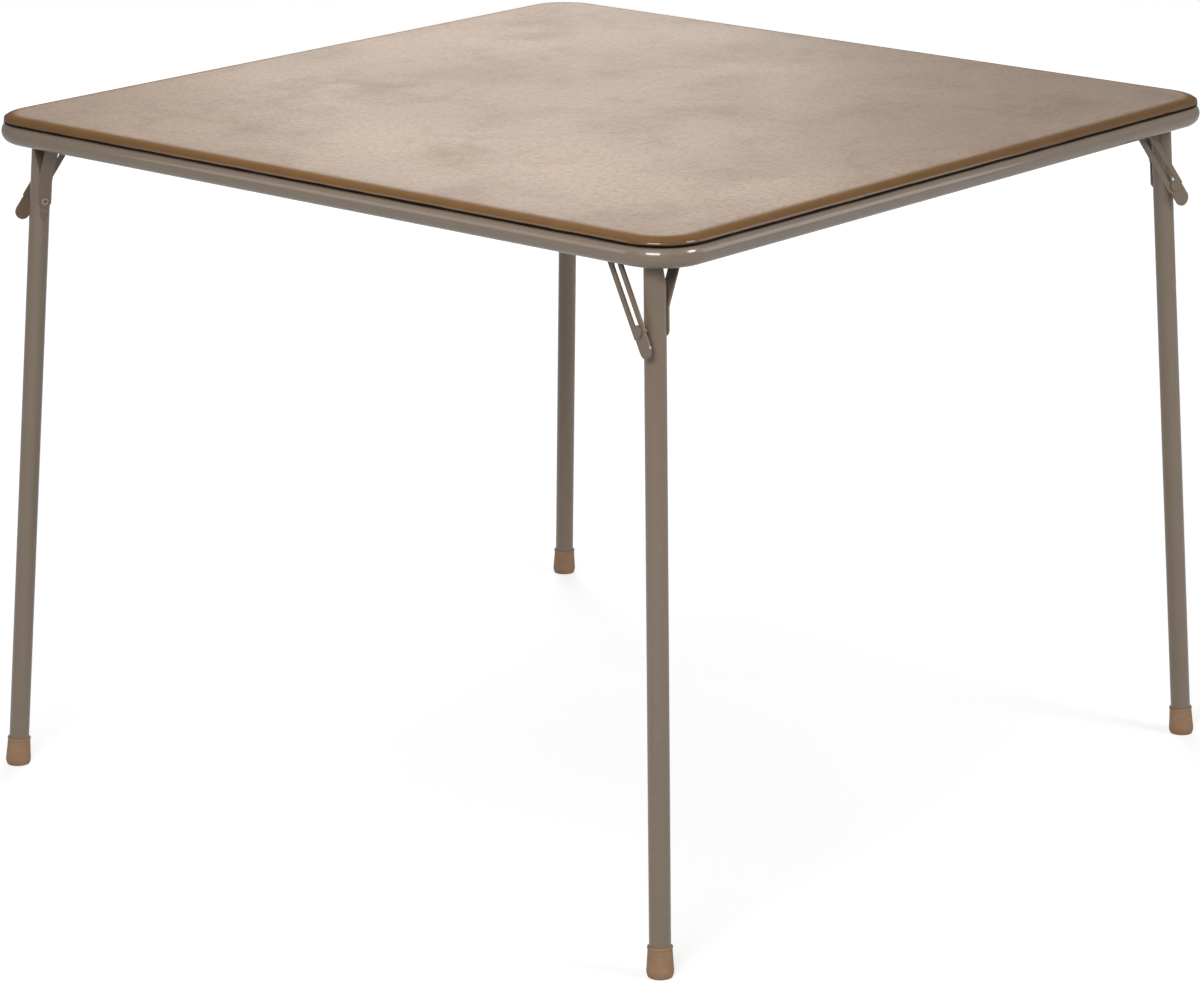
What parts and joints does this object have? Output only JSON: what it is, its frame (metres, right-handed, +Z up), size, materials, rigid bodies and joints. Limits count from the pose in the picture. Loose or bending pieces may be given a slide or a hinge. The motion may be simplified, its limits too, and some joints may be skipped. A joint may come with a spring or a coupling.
{
  "type": "folding card table",
  "caption": "Square folding card table with a padded vinyl top, a bent tube frame and splayed tube legs that lock open with slotted links and fold flat.",
  "frame": {"origin": "on the floor under the middle of the top", "axes": "+X to the right along the front edge, +Y towards the back edge, +Z up"},
  "size_m": [0.9266, 0.9266, 0.711],
  "materials": {
    "painted_tube": "semi-gloss taupe paint on steel tube",
    "painted_strip": "semi-gloss taupe paint on flat steel strip",
    "bracket_steel": "semi-gloss taupe paint on pressed steel plate",
    "zinc_steel": "satin zinc-plated steel",
    "vinyl": "greige vinyl with a fine leather grain, slightly mottled, satin",
    "foam": "open-cell foam sheet, matte",
    "hardboard": "pressed fibre board, smooth, matte",
    "tan_rubber": "moulded tan rubber, satin"
  },
  "bodies": {
    "table_top": {"frame_rail": "painted_tube", "top_board": "hardboard", "foam_pad": "foam", "vinyl_cover": "vinyl", "top_screws": "zinc_steel", "corner_bracket_front_left": "bracket_steel", "hinge_rod_front_left": "zinc_steel", "link_stud_front_left": "zinc_steel", "corner_bracket_back_left": "bracket_steel", "hinge_rod_back_left": "zinc_steel", "link_stud_back_left": "zinc_steel", "corner_bracket_back_right": "bracket_steel", "hinge_rod_back_right": "zinc_steel", "link_stud_back_right": "zinc_steel", "corner_bracket_front_right": "bracket_steel", "hinge_rod_front_right": "zinc_steel", "link_stud_front_right": "zinc_steel"},
    "leg_front_left": {"leg_tube_front_left": "painted_tube", "brace_bar_front_left": "painted_strip", "spread_sleeve_front_left": "zinc_steel", "lock_rivet_front_left": "zinc_steel", "rubber_foot_front_left": "tan_rubber"},
    "link_front_left": {"lock_link_front_left": "painted_strip"},
    "pin_front_left": {"lock_pin_front_left": "zinc_steel"},
    "leg_back_left": {"leg_tube_back_left": "painted_tube", "brace_bar_back_left": "painted_strip", "spread_sleeve_back_left": "zinc_steel", "lock_rivet_back_left": "zinc_steel", "rubber_foot_back_left": "tan_rubber"},
    "link_back_left": {"lock_link_back_left": "painted_strip"},
    "pin_back_left": {"lock_pin_back_left": "zinc_steel"},
    "leg_back_right": {"leg_tube_back_right": "painted_tube", "brace_bar_back_right": "painted_strip", "spread_sleeve_back_right": "zinc_steel", "lock_rivet_back_right": "zinc_steel", "rubber_foot_back_right": "tan_rubber"},
    "link_back_right": {"lock_link_back_right": "painted_strip"},
    "pin_back_right": {"lock_pin_back_right": "zinc_steel"},
    "leg_front_right": {"leg_tube_front_right": "painted_tube", "brace_bar_front_right": "painted_strip", "spread_sleeve_front_right": "zinc_steel", "lock_rivet_front_right": "zinc_steel", "rubber_foot_front_right": "tan_rubber"},
    "link_front_right": {"lock_link_front_right": "painted_strip"},
    "pin_front_right": {"lock_pin_front_right": "zinc_steel"}
  },
  "joints": [
    {"name": "fold_front_left", "type": "hinge", "parent": "table_top", "child": "leg_front_left", "pos_m": [-0.417, -0.408, 0.6882], "axis": [0.9654, -0.2587, -0.0323], "range_deg": [0, 93.8]},
    {"name": "link_swing_front_left", "type": "hinge", "parent": "table_top", "child": "link_front_left", "pos_m": [-0.40499, -0.36319, 0.6882], "axis": [0.9654, -0.2587, -0.0323], "range_deg": [0, 125.8]},
    {"name": "pin_slide_front_left", "type": "slide", "parent": "link_front_left", "child": "pin_front_left", "axis": [0.1767, 0.5582, 0.8106], "range_m": [0, 0.06274]},
    {"name": "fold_back_left", "type": "hinge", "parent": "table_top", "child": "leg_back_left", "pos_m": [-0.408, 0.417, 0.6882], "axis": [-0.2587, -0.9654, -0.0323], "range_deg": [0, 93.8]},
    {"name": "link_swing_back_left", "type": "hinge", "parent": "table_top", "child": "link_back_left", "pos_m": [-0.36319, 0.40499, 0.6882], "axis": [-0.2587, -0.9654, -0.0323], "range_deg": [0, 125.8]},
    {"name": "pin_slide_back_left", "type": "slide", "parent": "link_back_left", "child": "pin_back_left", "axis": [0.5582, -0.1767, 0.8106], "range_m": [0, 0.06274]},
    {"name": "fold_back_right", "type": "hinge", "parent": "table_top", "child": "leg_back_right", "pos_m": [0.417, 0.408, 0.6882], "axis": [-0.9654, 0.2587, -0.0323], "range_deg": [0, 93.8]},
    {"name": "link_swing_back_right", "type": "hinge", "parent": "table_top", "child": "link_back_right", "pos_m": [0.40499, 0.36319, 0.6882], "axis": [-0.9654, 0.2587, -0.0323], "range_deg": [0, 125.8]},
    {"name": "pin_slide_back_right", "type": "slide", "parent": "link_back_right", "child": "pin_back_right", "axis": [-0.1767, -0.5582, 0.8106], "range_m": [0, 0.06274]},
    {"name": "fold_front_right", "type": "hinge", "parent": "table_top", "child": "leg_front_right", "pos_m": [0.408, -0.417, 0.6882], "axis": [0.2587, 0.9654, -0.0323], "range_deg": [0, 93.8]},
    {"name": "link_swing_front_right", "type": "hinge", "parent": "table_top", "child": "link_front_right", "pos_m": [0.36319, -0.40499, 0.6882], "axis": [0.2587, 0.9654, -0.0323], "range_deg": [0, 125.8]},
    {"name": "pin_slide_front_right", "type": "slide", "parent": "link_front_right", "child": "pin_front_right", "axis": [-0.5582, 0.1767, 0.8106], "range_m": [0, 0.06274]}
  ],
  "couplings": [
    {"joint": "link_swing_front_left", "follows": "fold_front_left", "ratio": 1.3412},
    {"joint": "pin_slide_front_left", "follows": "fold_front_left", "m_per_rad": 0.038321},
    {"joint": "link_swing_back_left", "follows": "fold_back_left", "ratio": 1.3412},
    {"joint": "pin_slide_back_left", "follows": "fold_back_left", "m_per_rad": 0.038321},
    {"joint": "link_swing_back_right", "follows": "fold_back_right", "ratio": 1.3412},
    {"joint": "pin_slide_back_right", "follows": "fold_back_right", "m_per_rad": 0.038321},
    {"joint": "link_swing_front_right", "follows": "fold_front_right", "ratio": 1.3412},
    {"joint": "pin_slide_front_right", "follows": "fold_front_right", "m_per_rad": 0.038321}
  ]
}
